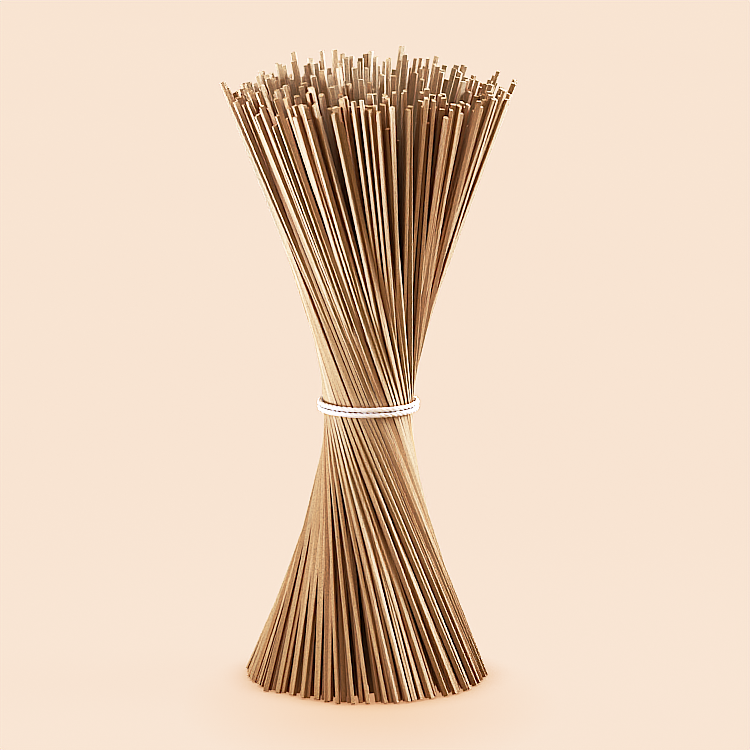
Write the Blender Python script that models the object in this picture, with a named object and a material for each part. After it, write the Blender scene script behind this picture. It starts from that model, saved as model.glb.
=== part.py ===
"""Bundle of dried buckwheat noodles, tied round its waist with two turns of white string.

Every noodle is a straight bar of rectangular section that passes through the waist. The
whole bundle is twisted, so the noodles lie along the straight lines of a hyperboloid and
fan out above and below the string. The bundle stands on the noodles' cut ends.
Lengths are in metres, +Z is up, and the origin is on the floor under the middle noodle.
"""

import math

import bmesh
import bpy
import numpy as np
from mathutils import Vector

# The noodles
NOODLE_COUNT = 250
NOODLE_WIDTH = 0.00185
NOODLE_THICKNESS = 0.00129
NOODLE_LENGTH = 0.2186
RIM_LENGTH = 0.2203
WIDTH_SPREAD = 0.00006
THICKNESS_SPREAD = 0.00004
LENGTH_SPREAD = 0.0026
BROKEN_SHARE = 0.12
BROKEN_LEAST = 0.004
BROKEN_MOST = 0.016
FOOT_LIFT = 0.0002
NOODLE_COLOUR = (0.46, 0.29, 0.17)

# The bundle. WAIST_SLANT is the tangent of the outer noodles' slant at the waist. The
# noodles crowd towards the rims of the two fans: CROWD_BELOW and CROWD_ABOVE say how much of
# the space between the outer noodles is left at the fans' ends. Neighbouring noodles lean
# together in clumps, and each strays a little by itself. FACING turns the side that looks
# best to the front.
WAIST_HEIGHT = 0.0927
WAIST_RADIUS = 0.0155
WAIST_SLANT = 0.42
CLUMP_SLOPE = 0.014
CLUMP_SIZE = 0.0024
CLUMP_WAVES = 7
CROWD_BELOW = 0.55
CROWD_ABOVE = 0.75
OUTER_SHARE = 0.45
FAN_HEIGHT = 0.1
STRAY_SLOPE = 0.002
SEED = 10
FACING = math.radians(89)

# How the noodles settle side by side inside the string, and are then eased apart
LOOSE_RADIUS = 0.0183
LOOSE_SPACING = 0.00112
TANGENT_SHARE = 0.6
OUTWARD_DRIFT = 0.0003
SETTLE_STEPS = 300
REST_STEPS = 60
RIM_DEPTH = 0.0026
NEIGHBOUR = 0.003
CLEARANCE = 0.00001
EASE_ROUNDS = 60
EASE_RISES = (0.010, 0.016, 0.023, 0.032, 0.045, 0.060, 0.080)

# The core that joins the noodles at the waist
CORE_HALF_HEIGHT = 0.0236
CORE_DEPTH = 0.0010
CORE_SIDES = 36
CORE_STEPS = 3

# The string: two turns, and a reef knot with short tails at the back
STRING_DIAMETER = 0.0017
STRING_RISE = 0.0041
STRING_GAP = 0.0003
STRING_PITCH = 0.0019
STRING_COLOUR = (0.86, 0.85, 0.83)
STRAND_IN_KNOT = 0.8
TURN_POINTS = 28
KNOT_STEPS = 2
STEP_DOWN_ACROSS = 0.007

# One rope's way through the reef knot from its tail to its standing end, in strand widths:
# across towards the other rope, up, and over (+) or under (-) that rope.
KNOT_ROUTE = (
    (-6.4, -4.6, 0.0),
    (-4.6, -2.3, 0.4),
    (-2.7, -0.85, 0.56),
    (-1.3, -0.85, 0.0),
    (0.0, -1.45, -0.62),
    (1.3, -2.15, 0.0),
    (2.5, -1.6, 0.5),
    (3.0, 0.0, 0.56),
    (2.5, 1.6, 0.5),
    (1.3, 2.15, 0.0),
    (0.0, 1.45, -0.62),
    (-1.3, 0.85, 0.0),
    (-2.7, 0.85, 0.56),
    (-4.4, 0.85, 0.2),
)

# How each rope's standing end leaves the knot for its turn: across from the knot's middle,
# up from the waist, and out from the turns. The last point starts the turn. The right rope
# climbs over the turn above it.
LEFT_LEAD = ((0.0085, 0.0009, 0.0010), (0.0115, 0.00095, 0.0))
RIGHT_LEAD = ((0.0086, 0.0002, 0.0020), (0.0115, -0.00075, 0.0010), (0.0150, -0.00095, 0.0))

TWIST = WAIST_SLANT / WAIST_RADIUS
STRING_HEIGHT = WAIST_HEIGHT + STRING_RISE
HELD_RISE = STRING_RISE + STRING_DIAMETER
HELD_RADIUS = WAIST_RADIUS * math.hypot(1, TWIST * HELD_RISE)
TURN_RADIUS = HELD_RADIUS + STRING_GAP + STRING_DIAMETER / 2
GOLDEN_ANGLE = math.pi * (3 - math.sqrt(5))


def clear_scene():
    """Removes every object of the startup scene."""
    for old in list(bpy.data.objects):
        bpy.data.objects.remove(old, do_unlink=True)


def matte(name, colour, roughness):
    """A matte material."""
    made = bpy.data.materials.new(name)
    made.use_nodes = True
    shader = made.node_tree.nodes["Principled BSDF"]
    shader.inputs["Base Color"].default_value = (*colour, 1)
    shader.inputs["Roughness"].default_value = roughness
    shader.inputs["Metallic"].default_value = 0
    made.diffuse_color = (*colour, 1)
    return made


# The noodles' rectangles, where they cross a level


def overlap(centres, turns, halves, pairs):
    """How far each pair of rectangles overlaps, and the direction that parts them."""
    first, second = pairs
    offset = centres[second] - centres[first]
    least = np.full(len(first), np.inf)
    away = np.zeros((len(first), 2))
    quarter = math.pi / 2
    for base in (turns[first], turns[first] + quarter, turns[second], turns[second] + quarter):
        axis = np.stack([np.cos(base), np.sin(base)], axis=1)
        reach = np.zeros(len(first))
        for one in pairs:
            reach += halves[one, 0] * np.abs(np.cos(turns[one] - base))
            reach += halves[one, 1] * np.abs(np.sin(turns[one] - base))
        along = (offset * axis).sum(axis=1)
        depth = reach - np.abs(along)
        nearer = depth < least
        least = np.where(nearer, depth, least)
        outward = np.where(along < 0, -1, 1)[:, None] * axis
        away = np.where(nearer[:, None], outward, away)
    return np.clip(least, 0, None), away


def neighbours(centres):
    """The index pairs of the rectangles whose middles are close."""
    apart = np.linalg.norm(centres[:, None] - centres[None], axis=2)
    return np.nonzero(np.triu(apart < NEIGHBOUR, 1))


def parting(centres, turns, halves, pairs):
    """The small move of each rectangle away from those that it overlaps."""
    depth, away = overlap(centres, turns, halves, pairs)
    push = 0.4 * depth[:, None] * away
    move = np.zeros_like(centres)
    np.add.at(move, pairs[1], push)
    np.add.at(move, pairs[0], -push)
    return move


def crowding(centres, turns, halves, pairs):
    """Each rectangle's overlaps added up."""
    depth, _ = overlap(centres, turns, halves, pairs)
    total = np.zeros(len(centres))
    np.add.at(total, pairs[0], depth)
    np.add.at(total, pairs[1], depth)
    return np.round(total, 8)


def radii(centres):
    """Distances from the axis, never quite zero."""
    return np.linalg.norm(centres, axis=1) + 1e-9


def against_radius(centres, turns):
    """Each rectangle's turn measured from the outward direction."""
    return turns - np.arctan2(centres[:, 1], centres[:, 0])


def kept_inside(centres, turns, halves, wall):
    """The middles, with each rectangle that reaches past the wall drawn inwards."""
    turned = against_radius(centres, turns)
    reach = halves[:, 0] * np.abs(np.cos(turned)) + halves[:, 1] * np.abs(np.sin(turned))
    past = np.clip(radii(centres) + reach - wall, 0, None)
    return centres * (1 - 0.5 * past / radii(centres))[:, None]


def loose_rectangles(draw):
    """Rectangles spread out evenly, before the string draws them together."""
    order = np.arange(NOODLE_COUNT)
    angles = order * GOLDEN_ANGLE
    circle = np.stack([np.cos(angles), np.sin(angles)], axis=1)
    centres = LOOSE_SPACING * np.sqrt(order)[:, None] * circle
    centres += draw.normal(0, 0.00015, centres.shape)
    widths = draw.normal(NOODLE_WIDTH, WIDTH_SPREAD, NOODLE_COUNT)
    thicknesses = draw.normal(NOODLE_THICKNESS, THICKNESS_SPREAD, NOODLE_COUNT)
    halves = np.stack([widths, thicknesses], axis=1) / 2 + CLEARANCE
    sideways = math.pi / 2 * (draw.random(NOODLE_COUNT) < TANGENT_SHARE)
    turns = angles + sideways + draw.normal(0, 0.3, NOODLE_COUNT)
    return centres, turns, halves


def turned_to_fit(draw, centres, turns, halves, pairs):
    """The turns, each changed a little where that gives a rectangle more room."""
    sizes = draw.normal(0, 0.06, len(turns))
    trial = turns + sizes * (draw.random(len(turns)) < 0.5)
    before = crowding(centres, turns, halves, pairs)
    after = crowding(centres, trial, halves, pairs)
    return np.round(np.where(after < before, trial, turns), 4)


def squared_to_wall(centres, turns, wall):
    """The turns, with the rectangles at the wall laid flatter against it."""
    quarter = math.pi / 2
    askew = (against_radius(centres, turns) + quarter / 2) % quarter - quarter / 2
    at_wall = radii(centres) > wall - RIM_DEPTH
    return turns - np.where(at_wall, 0.2 * askew, 0)


def settle(draw):
    """The rectangles, packed by a round wall that shrinks to the waist."""
    centres, turns, halves = loose_rectangles(draw)
    for step in range(SETTLE_STEPS + REST_STEPS):
        if step % 8 == 0:
            pairs = neighbours(centres)
        slack = max(0, 1 - step / SETTLE_STEPS)
        wall = WAIST_RADIUS + slack * (LOOSE_RADIUS - WAIST_RADIUS)
        if slack > 0:
            centres = centres * (1 + OUTWARD_DRIFT)
        for _ in range(3):
            centres = centres + parting(centres, turns, halves, pairs)
            centres = kept_inside(centres, turns, halves, wall)
            centres[0] = 0
        centres = np.round(centres, 7)
        if slack > 0:
            turns = squared_to_wall(centres, turns, wall)
        turns = turned_to_fit(draw, centres, turns, halves, pairs)
    return centres, turns, halves - CLEARANCE


# The noodles' directions


def clump_field(draw, centres):
    """A smooth random sideways field over the waist, about 1 in size."""
    field = np.zeros_like(centres)
    for _ in range(CLUMP_WAVES):
        wave = draw.normal(0, 1 / CLUMP_SIZE, 2)
        phase = draw.uniform(0, 2 * math.pi, 2)
        field += np.sin((centres * wave).sum(axis=1)[:, None] + phase)
    return field * math.sqrt(2 / CLUMP_WAVES)


def crossing(centres, slopes, rise):
    """Where the noodles cross the level that lies this far above the waist."""
    sideways = np.stack([centres[:, 1], -centres[:, 0]], axis=1)
    return centres + rise * (TWIST * sideways + slopes)


def fanning(centres, crowd, side):
    """The slopes that crowd the outer noodles towards the rim of a fan, leaving more room inside."""
    place = radii(centres) / WAIST_RADIUS
    inner = 1 - OUTER_SHARE
    outer_place = 1 - (1 - place) * crowd
    inner_place = place * (1 - OUTER_SHARE * crowd) / inner
    moved = np.where(place > inner, outer_place, inner_place) - place
    there = crossing(centres, np.zeros(2), side * FAN_HEIGHT)
    outward = there / radii(there)[:, None]
    reach = WAIST_RADIUS * math.hypot(1, TWIST * FAN_HEIGHT)
    return side * outward * (moved * reach / FAN_HEIGHT)[:, None]


def half_slopes(draw, centres, turns, halves, side):
    """The sideways slopes above (side 1) or below (-1) the waist, with no noodle through another."""
    slopes = CLUMP_SLOPE * clump_field(draw, centres)
    slopes += draw.normal(0, STRAY_SLOPE, slopes.shape)
    slopes += fanning(centres, CROWD_ABOVE if side > 0 else CROWD_BELOW, side)
    slopes -= slopes[0]
    for _ in range(EASE_ROUNDS):
        for rise in EASE_RISES:
            there = crossing(centres, slopes, side * rise)
            move = parting(there, turns, halves + CLEARANCE, neighbours(there))
            slopes = np.round(slopes + side * move / rise, 6)
        held = crossing(centres, slopes, side * HELD_RISE)
        inwards = kept_inside(held, turns, halves, HELD_RADIUS) - held
        slopes = np.round(slopes + side * inwards / HELD_RISE, 6)
        slopes[0] = 0
    return slopes


def lengths(draw, centres):
    """How long each noodle is: most alike, longest at the rim, and some broken shorter."""
    whole = draw.normal(NOODLE_LENGTH, LENGTH_SPREAD, NOODLE_COUNT)
    whole += (RIM_LENGTH - NOODLE_LENGTH) * (radii(centres) / WAIST_RADIUS) ** 2
    broken = draw.random(NOODLE_COUNT) < BROKEN_SHARE
    return whole - broken * draw.uniform(BROKEN_LEAST, BROKEN_MOST, NOODLE_COUNT)


def end_ring(centre, slant, turn, half, height):
    """The four corners of a noodle's square cut at this height."""
    along_width = np.array([math.cos(turn), math.sin(turn)]) * half[0]
    along_thickness = np.array([-math.sin(turn), math.cos(turn)]) * half[1]
    corners = []
    for wide, thick in ((1, 1), (-1, 1), (-1, -1), (1, -1)):
        offset = wide * along_width + thick * along_thickness
        rise = -(offset * slant).sum() / (1 + (slant * slant).sum())
        x, y = centre + offset + rise * slant
        corners.append((x, y, height + rise))
    return corners


def faced(vectors):
    """The vectors, turned by FACING about the bundle's axis."""
    cosine = math.cos(FACING)
    sine = math.sin(FACING)
    x, y = vectors.T
    return np.stack([x * cosine - y * sine, x * sine + y * cosine], axis=1)


def noodle_rings(draw):
    """Each noodle's rings of corners at its foot, its waist and its top."""
    centres, turns, halves = settle(draw)
    slopes_below = faced(half_slopes(draw, centres, turns, halves, -1))
    slopes_above = faced(half_slopes(draw, centres, turns, halves, 1))
    centres = faced(centres)
    turns = turns + FACING
    tall = lengths(draw, centres)
    lifts = np.clip(draw.normal(0, FOOT_LIFT, NOODLE_COUNT), 0, None)
    lifts[0] = 0
    straight = np.zeros(2)
    for i in range(NOODLE_COUNT):
        across = TWIST * np.array([centres[i, 1], -centres[i, 0]])
        below = across + slopes_below[i]
        above = across + slopes_above[i]
        foot_centre = centres[i] - WAIST_HEIGHT * below
        foot = end_ring(foot_centre, below, turns[i], halves[i], 0)
        lowest = min(corner[2] for corner in foot)
        foot = [(x, y, z - lowest + lifts[i]) for x, y, z in foot]
        span_below = WAIST_HEIGHT * math.hypot(1, *below)
        rise = (tall[i] - span_below) / math.hypot(1, *above)
        waist = end_ring(centres[i], straight, turns[i], halves[i], WAIST_HEIGHT)
        top_centre = centres[i] + rise * above
        top = end_ring(top_centre, above, turns[i], halves[i], WAIST_HEIGHT + rise + lifts[i])
        yield foot, waist, top


def prism(name, rings):
    """A closed mesh object through rings of points, listed anticlockwise from above, lowest first."""
    sides = len(rings[0])
    points = [point for ring in rings for point in ring]
    faces = [list(reversed(range(sides))), list(range(len(points) - sides, len(points)))]
    for level in range(len(rings) - 1):
        for i in range(sides):
            here = level * sides + i
            beside = level * sides + (i + 1) % sides
            faces.append((here, beside, beside + sides, here + sides))
    mesh = bpy.data.meshes.new(name)
    mesh.from_pydata(points, [], faces)
    return bpy.data.objects.new(name, mesh)


def make_core():
    """The solid middle of the bundle, its faces running the same way as the noodles."""
    radius = WAIST_RADIUS - CORE_DEPTH
    angles = np.arange(CORE_SIDES) * (2 * math.pi / CORE_SIDES)
    ring = radius * np.stack([np.cos(angles), np.sin(angles)], axis=1)
    rings = []
    for step in range(CORE_STEPS + 1):
        rise = CORE_HALF_HEIGHT * (2 * step / CORE_STEPS - 1)
        level = crossing(ring, np.zeros(2), rise)
        rings.append([(x, y, WAIST_HEIGHT + rise) for x, y in level])
    core = prism("noodles", rings)
    core.data.materials.append(matte("buckwheat", NOODLE_COLOUR, 0.8))
    return core


def island(start):
    """The vertices joined to this one by edges."""
    found = {start}
    edge_of_search = [start]
    while edge_of_search:
        corner = edge_of_search.pop()
        beside = {edge.other_vert(corner) for edge in corner.link_edges} - found
        found |= beside
        edge_of_search.extend(beside)
    return found


def keep_outer_skin(mesh):
    """Fills the small hollows that the joining sealed, and drops any loose scrap."""
    shape = bmesh.new()
    shape.from_mesh(mesh)
    islands = []
    left = set(shape.verts)
    while left:
        islands.append(island(next(iter(left))))
        left -= islands[-1]
    islands.sort(key=len)
    inner = [corner for group in islands[:-1] for corner in group]
    bmesh.ops.delete(shape, geom=inner, context="VERTS")
    shape.to_mesh(mesh)
    shape.free()


def make_noodles(draw):
    """All noodles and their core, joined into one solid."""
    core = make_core()
    bpy.context.scene.collection.objects.link(core)
    bars = bpy.data.collections.new("bars")
    bpy.context.scene.collection.children.link(bars)
    for i, rings in enumerate(noodle_rings(draw)):
        bars.objects.link(prism(f"bar_{i}", rings))
    union = core.modifiers.new("join", "BOOLEAN")
    union.operation = "UNION"
    union.operand_type = "COLLECTION"
    union.collection = bars
    bpy.context.view_layer.objects.active = core
    bpy.ops.object.modifier_apply(modifier=union.name)
    for bar in list(bars.objects):
        bpy.data.objects.remove(bar, do_unlink=True)
    bpy.data.collections.remove(bars)
    keep_outer_skin(core.data)
    return core


# The string


def on_waist(across, up, out):
    """A point round the bundle: across from the middle of the back, up, and out from the turns."""
    angle = math.pi / 2 - across / TURN_RADIUS
    distance = TURN_RADIUS + out
    return Vector((distance * math.cos(angle), distance * math.sin(angle), STRING_HEIGHT + up))


def rope_points(side, lead):
    """One rope's points from its tail to its turn; side is -1 for the left rope, 1 for the right."""
    strand = STRAND_IN_KNOT * STRING_DIAMETER
    middle = STRING_DIAMETER / 2 + 1.25 * strand
    points = []
    for across, up, over in KNOT_ROUTE:
        out = middle - side * over * strand
        points.append(on_waist(-side * across * strand, up * strand, out))
    for across, up, out in lead:
        points.append(on_waist(side * across, up, out))
    return points


def turn_points():
    """The two turns, from the knot's left round the front twice to its right."""
    around = 2 * math.pi * TURN_RADIUS
    start = LEFT_LEAD[-1][0]
    finish = 2 * around - RIGHT_LEAD[-1][0]
    points = []
    for i in range(1, 2 * TURN_POINTS):
        along = start + (finish - start) * i / (2 * TURN_POINTS)
        past_back = max(-1, min(1, (along - around) / STEP_DOWN_ACROSS))
        up = -STRING_PITCH / 2 * math.sin(past_back * math.pi / 2)
        points.append(on_waist(-along, up, 0))
    return points


def smooth_route(points, steps):
    """Points along a smooth curve through the given ones."""
    route = []
    padded = [points[0], *points, points[-1]]
    for before, start, end, after in zip(padded, padded[1:], padded[2:], padded[3:]):
        for step in range(steps):
            t = step / steps
            leaving = (end - before) / 2
            arriving = (after - start) / 2
            bend = (2 * t**3 - 3 * t**2 + 1) * start + (t**3 - 2 * t**2 + t) * leaving
            bend += (3 * t**2 - 2 * t**3) * end + (t**3 - t**2) * arriving
            route.append(bend)
    return [*route, points[-1]]


def make_string():
    """The string as one tube, from tail to tail."""
    left = smooth_route(rope_points(-1, LEFT_LEAD), KNOT_STEPS)
    right = smooth_route(rope_points(1, RIGHT_LEAD), KNOT_STEPS)
    route = [*left, *turn_points(), *reversed(right)]
    in_knot = KNOT_STEPS * len(KNOT_ROUTE)
    curve = bpy.data.curves.new("string", "CURVE")
    curve.dimensions = "3D"
    curve.bevel_depth = STRING_DIAMETER / 2
    curve.bevel_resolution = 2
    curve.use_fill_caps = True
    spline = curve.splines.new("POLY")
    spline.points.add(len(route) - 1)
    for i, point in enumerate(route):
        spline.points[i].co = (*point, 1)
        from_end = min(i, len(route) - 1 - i)
        spline.points[i].radius = STRAND_IN_KNOT if from_end < in_knot else 1
    string = bpy.data.objects.new("string", curve)
    bpy.context.scene.collection.objects.link(string)
    curve.materials.append(matte("cotton", STRING_COLOUR, 0.85))
    return string


def main():
    clear_scene()
    bundle = bpy.data.objects.new("bundle", None)
    bpy.context.scene.collection.objects.link(bundle)
    for piece in (make_noodles(np.random.default_rng(SEED)), make_string()):
        piece.parent = bundle


main()
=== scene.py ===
"""Looks of the bundle of dried buckwheat noodles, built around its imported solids.

Every noodle is a nearly straight, square-cut bar of pale brown dough. The solids' noodles and
the white string lie where the solids have them, because the same settling of rectangles inside
a shrinking round wall places them here. More noodles fill the gaps of both fans.
Lengths are in metres and +Z is up.
"""

import math

import bmesh
import bpy
import numpy as np
from bpy.props import FloatProperty, FloatVectorProperty, IntProperty, PointerProperty
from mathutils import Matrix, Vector


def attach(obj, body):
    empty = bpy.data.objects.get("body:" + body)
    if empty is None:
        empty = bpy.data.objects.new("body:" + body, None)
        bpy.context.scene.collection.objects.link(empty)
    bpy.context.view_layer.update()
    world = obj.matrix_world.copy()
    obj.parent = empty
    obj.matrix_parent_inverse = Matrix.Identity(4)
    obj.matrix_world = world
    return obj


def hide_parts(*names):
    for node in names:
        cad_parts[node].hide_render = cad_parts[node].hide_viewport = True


bl_info = {
    "name": "Noodle bundle",
    "version": (1, 0, 0),
    "blender": (4, 5, 0),
    "location": "View3D > Sidebar > Noodle bundle",
    "description": "Makes a tied, twisted bundle of dried buckwheat noodles",
    "category": "Add Mesh",
}

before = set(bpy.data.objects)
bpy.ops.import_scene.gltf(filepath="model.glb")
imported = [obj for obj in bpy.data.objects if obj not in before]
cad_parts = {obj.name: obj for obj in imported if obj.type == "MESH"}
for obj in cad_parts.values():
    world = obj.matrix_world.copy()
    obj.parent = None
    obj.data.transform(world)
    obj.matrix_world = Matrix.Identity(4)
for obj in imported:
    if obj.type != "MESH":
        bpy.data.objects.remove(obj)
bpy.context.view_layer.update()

# The bundle's layout, as its solids have it
WAIST_HEIGHT = 0.0927
CLUMP_SLOPE = 0.014
CLUMP_SIZE = 0.0024
CLUMP_WAVES = 7
CROWD_BELOW = 0.55
CROWD_ABOVE = 0.75
OUTER_SHARE = 0.45
FAN_HEIGHT = 0.1
STRAY_SLOPE = 0.002
FACING = math.radians(89)
WIDTH_SPREAD = 0.00006
THICKNESS_SPREAD = 0.00004
LENGTH_SPREAD = 0.0026
BROKEN_SHARE = 0.12
BROKEN_LEAST = 0.004
BROKEN_MOST = 0.016
FOOT_LIFT = 0.0002
LOOSE_RADIUS = 0.0183
LOOSE_SPACING = 0.00112
LOOSE_JITTER = 0.00015
LOOSE_TURN = 0.3
TANGENT_SHARE = 0.6
OUTWARD_DRIFT = 0.0003
SETTLE_STEPS = 300
REST_STEPS = 60
PAIRING_STEPS = 8
PUSHES = 3
PUSH_SHARE = 0.4
WALL_SHARE = 0.5
TURN_TRIAL = 0.06
TRIED_SHARE = 0.5
SQUARING = 0.2
RIM_DEPTH = 0.0026
NEIGHBOUR = 0.003
CLEARANCE = 0.00001
EASE_ROUNDS = 60
EASE_RISES = (0.010, 0.016, 0.023, 0.032, 0.045, 0.060, 0.080)
GOLDEN_ANGLE = math.pi * (3 - math.sqrt(5))
QUARTER = math.pi / 2
NOT_ZERO = 1e-9

# Decimals: a property holds a number less finely than this file does, and the settling
# rounds its numbers, so that it ends alike on every machine
DECIMALS = 6
PLACE_DECIMALS = 7
TURN_DECIMALS = 4
SLOPE_DECIMALS = 6
CROWD_DECIMALS = 8

# A noodle's own form. BOW and LEAN have a size above the waist and one below it.
SHRUNK = 0.965
EDGE_WEAR = 0.00014
NOODLE_CUTS = 7
END_INSET = 0.00022
END_HOLLOW = 0.00006
SQUARE_ON = 0.9
ON_OUTLINE = 0.49
KINK_REACH = 0.004
BOW = (0.0007, 0.0003)
BOW_POWER = 1.7
REACH = 0.1
LEAN = (0.0006, 0.0003)
TURNING = 0.28
CUT_SLANT = 0.06
TONE_EVENNESS = 1.5
GRAIN_LENGTH = 9
LOOKS_SEED = 7

# The dough's patterns. A scale is how often a pattern repeats in a metre: round the noodle and
# along it, or every way alike. A range is its low and high values, and what these become.
CLOUD_SCALE = (200, 30, 1)
CLOUD_RANGE = (0.35, 0.7, 0.0, 0.4)
STREAK_SCALE = (4200, 160, 1)
STREAK_RANGE = (0.38, 0.62, 0.96, 1.03)
MEAL_SCALE = 2400
MEAL_RANGE = (0.35, 0.65, 0.87, 1.1)
SPECK_SCALE = 2000
SPECK_RANGE = (0.64, 0.74, 0.0, 0.3)
# The pale edges: floury wear, and also painted highlight lines
EDGE_RANGE = (0.7, 0.98)
RAGGED_RANGE = (0.3, 0.65, 0.1, 0.5)
ROUGH_RANGE = (0.3, 0.7, 0.5, 0.75)
CUT_PALENESS = 0.45
GRAIN_DEPTH = 0.00003

# Painted shade in the gaps: how far a neighbour darkens, and the openness that turns to a painted shade
GAP_SAMPLES = 4
GAP_REACH = 0.007
GAP_RANGE = (0.05, 0.8, 0.0, 1.0)

# The noodles that the solids leave out: they fill the gaps of both fans. FILLER_AREAS has, for
# each side of the waist, the inner and outer share of its area, and how they crowd outwards.
FILLER_PLACE = 0.8
FILLER_AREAS = {-1: (0.4, 0.95, 3.0), 1: (0.3, 0.94, 2.2)}
FILLER_ASKEW = 0.12
PLEATS = 9
PLEAT_DEPTH = 0.07
FILLER_RISES = (0.045, 0.06, 0.08, 0.1, 0.118)
FILLER_ROUNDS = 60

# The solid middle that no gap shows through
CORE_HALF_HEIGHT = 0.019
CORE_DEPTH = 0.0019
CORE_SIDES = 40
CORE_CUTS = 7
CORE_TAPER = 0.8

# The string
STRING_GAP = 0.0003
STRING_PITCH = 0.0019
STRING_RISE = 0.0041
STRAND_IN_KNOT = 0.8
KNOT_OUT = 1.25
TURN_POINTS = 28
KNOT_STEPS = 2
ROUTE_STEPS = 6
STEP_DOWN_ACROSS = 0.007
PLY_COUNT = 3
PLY_SHARE = 0.65
PLY_OFFSET = 0.42
PLY_TURN = 0.0062
PLY_STEP = 0.0004
PLY_SIDES = 8
PLY_LUMP = 0.003
PLY_UNEVENNESS = 0.05
FIBRE_SCALE = (9000, 500, 1)
FIBRE_RANGE = (0.35, 0.65)
FIBRE_DEPTH = 0.00006
LUMP_SCALE = 900
LUMP_DEPTH = 0.0001
# The string's glow is painted light that makes it brighter than its lamps make it
COTTON_GLOW = 0.14

# One rope's way through the reef knot from its tail to its standing end, in strand widths:
# across towards the other rope, up, and over (+) or under (-) that rope.
KNOT_ROUTE = (
    (-6.4, -4.6, 0.0),
    (-4.6, -2.3, 0.4),
    (-2.7, -0.85, 0.56),
    (-1.3, -0.85, 0.0),
    (0.0, -1.45, -0.62),
    (1.3, -2.15, 0.0),
    (2.5, -1.6, 0.5),
    (3.0, 0.0, 0.56),
    (2.5, 1.6, 0.5),
    (1.3, 2.15, 0.0),
    (0.0, 1.45, -0.62),
    (-1.3, 0.85, 0.0),
    (-2.7, 0.85, 0.56),
    (-4.4, 0.85, 0.2),
)

# How each rope's standing end leaves the knot for its turn: across from the knot's middle,
# up from the string's level, and out from the turns. The last point starts the turn.
LEFT_LEAD = ((0.0085, 0.0009, 0.0010), (0.0115, 0.00095, 0.0))
RIGHT_LEAD = ((0.0086, 0.0002, 0.0020), (0.0115, -0.00075, 0.0010), (0.0150, -0.00095, 0.0))

# The camera, which sees the bundle as the photograph does
CAMERA_DISTANCE = 1.6
CAMERA_AIM = (0.0023, 0.0, 0.107)
CAMERA_ELEVATION = math.radians(10.4)
CAMERA_ANGLE = math.radians(9.29)

# The studio
FLOOR_SIZE = 16.0
FLOOR_GLOW = 1.0
FLOOR_SHARE = 0.03
FLOOR_DIMMING = 0.985
FLOOR_SCALE = 3.0
# Painted shadow on the floor: darker close to the noodles, and a soft spot in front of them
CONTACT_REACH = 0.012
CONTACT_RANGE = (0.35, 0.95, 0.0, 1.0)
SHADOW_MIDDLE = (0.0, -0.04, 0.0)
SHADOW_REACH = (0.065, 0.09, 1.0)
LEFT_PLACE = (-0.55, -0.20, 0.16)
LEFT_TARGET = (-0.03, 0.0, 0.235)
LEFT_SPREAD = math.radians(44)
RIGHT_PLACE = (0.52, 0.05, 0.34)
RIGHT_TARGET = (0.02, 0.0, 0.19)
RIGHT_SPREAD = math.radians(56)
BOX_SIZE = 0.3
TOP_DIRECTION = (-0.15, -0.05, 1.0)
TOP_SOFTNESS = math.radians(60)
BOX_COLOUR = (0.94, 1.045, 1.24)
TOP_COLOUR = (1.03, 0.99, 0.97)
FILL_COLOUR = (1.0, 0.6, 0.23)
CRISPNESS = 0.15
COMBINED_CURVE = 3
CONTRAST = ((0.1, 0.04), (0.25, 0.14), (0.4, 0.33), (0.6, 0.66), (0.8, 0.9))


def settings():
    """The sizes and colours that the sidebar shows."""
    return bpy.context.scene.noodle_bundle


def plain(value):
    """A property's number as it was written."""
    return round(value, DECIMALS)


def waist():
    """The waist's radius, and the twist: the noodles' slope for each metre from the axis."""
    radius = plain(settings().waist_radius)
    return radius, plain(settings().waist_slant) / radius


def radius_at(rise):
    """The bundle's radius this far above or below the waist."""
    radius, twist = waist()
    return radius * math.hypot(1, twist * rise)


# Materials


def new_material(name):
    """A material with nodes, its node tree and its shader."""
    made = bpy.data.materials.new(name)
    made.use_nodes = True
    tree = made.node_tree
    return made, tree, tree.nodes["Principled BSDF"]


def fill_inputs(tree, node, inputs, links):
    """Gives the node's inputs these values, and joins these outputs to them."""
    for name, value in inputs.items():
        node.inputs[name].default_value = value
    for name, source in links.items():
        tree.links.new(source, node.inputs[name])


def add_node(tree, kind, inputs=None, links=None, **values):
    """A new node with its settings, its inputs' values and what is joined to them."""
    node = tree.nodes.new(kind)
    for name, value in values.items():
        setattr(node, name, value)
    fill_inputs(tree, node, inputs or {}, links or {})
    return node


def noise(tree, vector, scale, detail, roughness):
    """A noise texture's value at this vector."""
    inputs = {"Scale": scale, "Detail": detail, "Roughness": roughness}
    return add_node(tree, "ShaderNodeTexNoise", inputs, {"Vector": vector}).outputs["Fac"]


def mapped(tree, vector, scale):
    """The vector, stretched by this scale."""
    node = add_node(tree, "ShaderNodeMapping", {"Scale": scale}, {"Vector": vector})
    return node.outputs["Vector"]


def mixed(tree, share, first, second, blend="MIX"):
    """Two colours mixed. Each argument is an output, a number or a colour."""
    node = add_node(tree, "ShaderNodeMix", data_type="RGBA", blend_type=blend)
    for socket, value in ((0, share), (6, first), (7, second)):
        if hasattr(value, "links"):
            tree.links.new(value, node.inputs[socket])
        else:
            node.inputs[socket].default_value = value if socket == 0 else (*value, 1)
    return node.outputs[2]


def between(tree, value, low, high, to_low=0.0, to_high=1.0):
    """The value, taken from one range to another."""
    inputs = {"From Min": low, "From Max": high, "To Min": to_low, "To Max": to_high}
    return add_node(tree, "ShaderNodeMapRange", inputs, {"Value": value}).outputs["Result"]


def map_place(tree, name):
    """The point's place in this UV map."""
    return add_node(tree, "ShaderNodeUVMap", uv_map=name).outputs["UV"]


def bumped(tree, shader, heights):
    """Joins bumps, each a height, its strength and its depth in metres, to the shader."""
    links = {}
    for height, strength, depth in heights:
        inputs = {"Strength": strength, "Distance": depth}
        bump = add_node(tree, "ShaderNodeBump", inputs, {"Height": height, **links})
        links = {"Normal": bump.outputs["Normal"]}
    fill_inputs(tree, shader, {}, links)


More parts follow.
